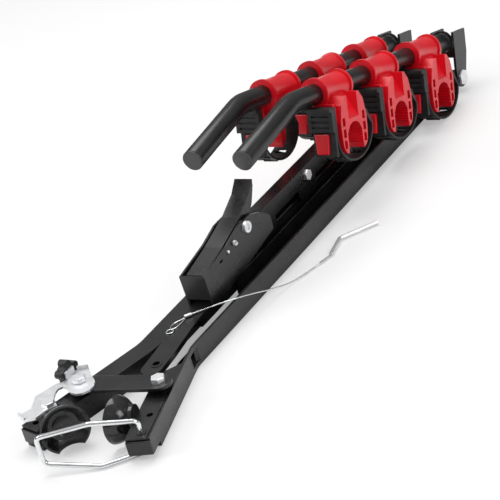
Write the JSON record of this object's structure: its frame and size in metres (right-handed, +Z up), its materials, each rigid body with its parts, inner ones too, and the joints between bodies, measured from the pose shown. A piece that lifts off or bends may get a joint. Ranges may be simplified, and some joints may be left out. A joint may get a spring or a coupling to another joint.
{
  "type": "towbar bike rack",
  "caption": "Folded tow-ball cycle rack: twin-rail mast with ball clamp and lever, two hinged arms with strapped cradles.",
  "frame": {"origin": "centre of the tow ball's seat between the clamp's two cups", "axes": "+Y along the mast towards the arms' hinge, +X to the side of the safety bail, +Z up from the floor"},
  "size_m": [0.2276, 1.0919, 0.2109],
  "materials": {
    "black_paint": "satin black powder coat",
    "zinc_plate": "bright zinc plate",
    "red_plastic": "bright red moulded plastic",
    "black_rubber": "matt black rubber",
    "black_plastic": "black moulded plastic",
    "cup_lining": "glossy black casting",
    "cap_plastic": "dark grey plastic",
    "bright_steel": "bright drawn steel"
  },
  "bodies": {
    "mast": {"right_rail": "black_paint", "left_rail": "black_paint", "right_leg_tab": "black_paint", "left_leg_tab": "black_paint", "mast_spine": "black_paint", "mast_head": "black_paint", "head_axle": "zinc_plate", "axle_nuts": "zinc_plate", "head_washers": "zinc_plate", "lever_box": "black_paint", "lever_bolt": "black_paint", "lever_spring": "zinc_plate", "upper_beam": "black_paint", "beam_foot_bracket": "black_paint", "beam_front_bracket": "black_paint", "beam_cross_bolt": "zinc_plate", "guide_plate": "black_paint", "tie_bar": "black_paint", "tie_bar_spacers": "black_paint", "clamp_bolts": "zinc_plate", "right_cup": "cup_lining"},
    "lever": {"lever": "black_paint"},
    "pull_bar": {"pull_bar": "black_paint", "lanyard_ring": "bright_steel", "lanyard_wire": "bright_steel", "lanyard_loop": "bright_steel", "lanyard_ferrules": "zinc_plate", "lanyard_fork": "bright_steel", "hitch_pin": "zinc_plate"},
    "jaw": {"jaw_plate": "zinc_plate", "left_cup": "cup_lining", "jaw_bolt": "zinc_plate", "knob_stud": "zinc_plate"},
    "knob": {"star_knob": "black_plastic"},
    "bail": {"bail": "bright_steel", "bail_washer": "black_plastic"},
    "right_button_1": {"right_button_1": "red_plastic"},
    "right_button_2": {"right_button_2": "red_plastic"},
    "right_button_3": {"right_button_3": "red_plastic"},
    "right_arm": {"right_arm_bracket": "black_paint", "right_arm_tube": "black_paint", "right_arm_cap": "cap_plastic", "right_cradle_1": "red_plastic", "right_strap_1": "black_rubber", "right_cradle_2": "red_plastic", "right_strap_2": "black_rubber", "right_cradle_3": "red_plastic", "right_strap_3": "black_rubber"},
    "left_button_1": {"left_button_1": "red_plastic"},
    "left_button_2": {"left_button_2": "red_plastic"},
    "left_button_3": {"left_button_3": "red_plastic"},
    "left_arm": {"left_arm_bracket": "black_paint", "left_arm_tube": "black_paint", "left_arm_cap": "cap_plastic", "left_cradle_1": "red_plastic", "left_strap_1": "black_rubber", "left_cradle_2": "red_plastic", "left_strap_2": "black_rubber", "left_cradle_3": "red_plastic", "left_strap_3": "black_rubber"}
  },
  "joints": [
    {"name": "lever_hinge", "type": "hinge", "parent": "mast", "child": "lever", "pos_m": [-0.02246, 0.375, 0.057], "axis": [1, 0, 0], "range_deg": [0, 15]},
    {"name": "pull_bar_slide", "type": "slide", "parent": "mast", "child": "pull_bar", "axis": [0, 1, 0], "range_m": [0, 0.006]},
    {"name": "jaw_swing", "type": "hinge", "parent": "mast", "child": "jaw", "pos_m": [-0.07967, 0.05317, 0.012], "axis": [0, 0, 1], "range_deg": [0, 34]},
    {"name": "knob_spin", "type": "hinge", "parent": "jaw", "child": "knob", "pos_m": [-0.11067, 0.069, 0.015], "axis": [1, 0, 0], "continuous": true},
    {"name": "bail_hinge", "type": "hinge", "parent": "mast", "child": "bail", "pos_m": [0.05806, -0.0213, 0], "axis": [0, 0, 1], "range_deg": [-5, 60]},
    {"name": "right_arm_fold", "type": "hinge", "parent": "mast", "child": "right_arm", "pos_m": [-0.02246, 0.968, -0.008], "axis": [1, 0, 0], "range_deg": [-76, 0]},
    {"name": "right_button_1_press", "type": "slide", "parent": "right_arm", "child": "right_button_1", "axis": [0.0118, 0.9681, -0.2504], "range_m": [0, 0.0026], "stiffness_N_per_m": 500},
    {"name": "right_button_2_press", "type": "slide", "parent": "right_arm", "child": "right_button_2", "axis": [0.0118, 0.9681, -0.2504], "range_m": [0, 0.0026], "stiffness_N_per_m": 500},
    {"name": "right_button_3_press", "type": "slide", "parent": "right_arm", "child": "right_button_3", "axis": [0.0118, 0.9681, -0.2504], "range_m": [0, 0.0026], "stiffness_N_per_m": 500},
    {"name": "left_arm_fold", "type": "hinge", "parent": "mast", "child": "left_arm", "pos_m": [-0.02246, 0.968, -0.008], "axis": [1, 0, 0], "range_deg": [-76, 0]},
    {"name": "left_button_1_press", "type": "slide", "parent": "left_arm", "child": "left_button_1", "axis": [-0.0118, 0.9681, -0.2504], "range_m": [0, 0.0026], "stiffness_N_per_m": 500},
    {"name": "left_button_2_press", "type": "slide", "parent": "left_arm", "child": "left_button_2", "axis": [-0.0118, 0.9681, -0.2504], "range_m": [0, 0.0026], "stiffness_N_per_m": 500},
    {"name": "left_button_3_press", "type": "slide", "parent": "left_arm", "child": "left_button_3", "axis": [-0.0118, 0.9681, -0.2504], "range_m": [0, 0.0026], "stiffness_N_per_m": 500}
  ],
  "couplings": [
    {"joint": "pull_bar_slide", "follows": "lever_hinge", "m_per_rad": 0.022918},
    {"joint": "jaw_swing", "follows": "lever_hinge", "ratio": 2.2667}
  ]
}
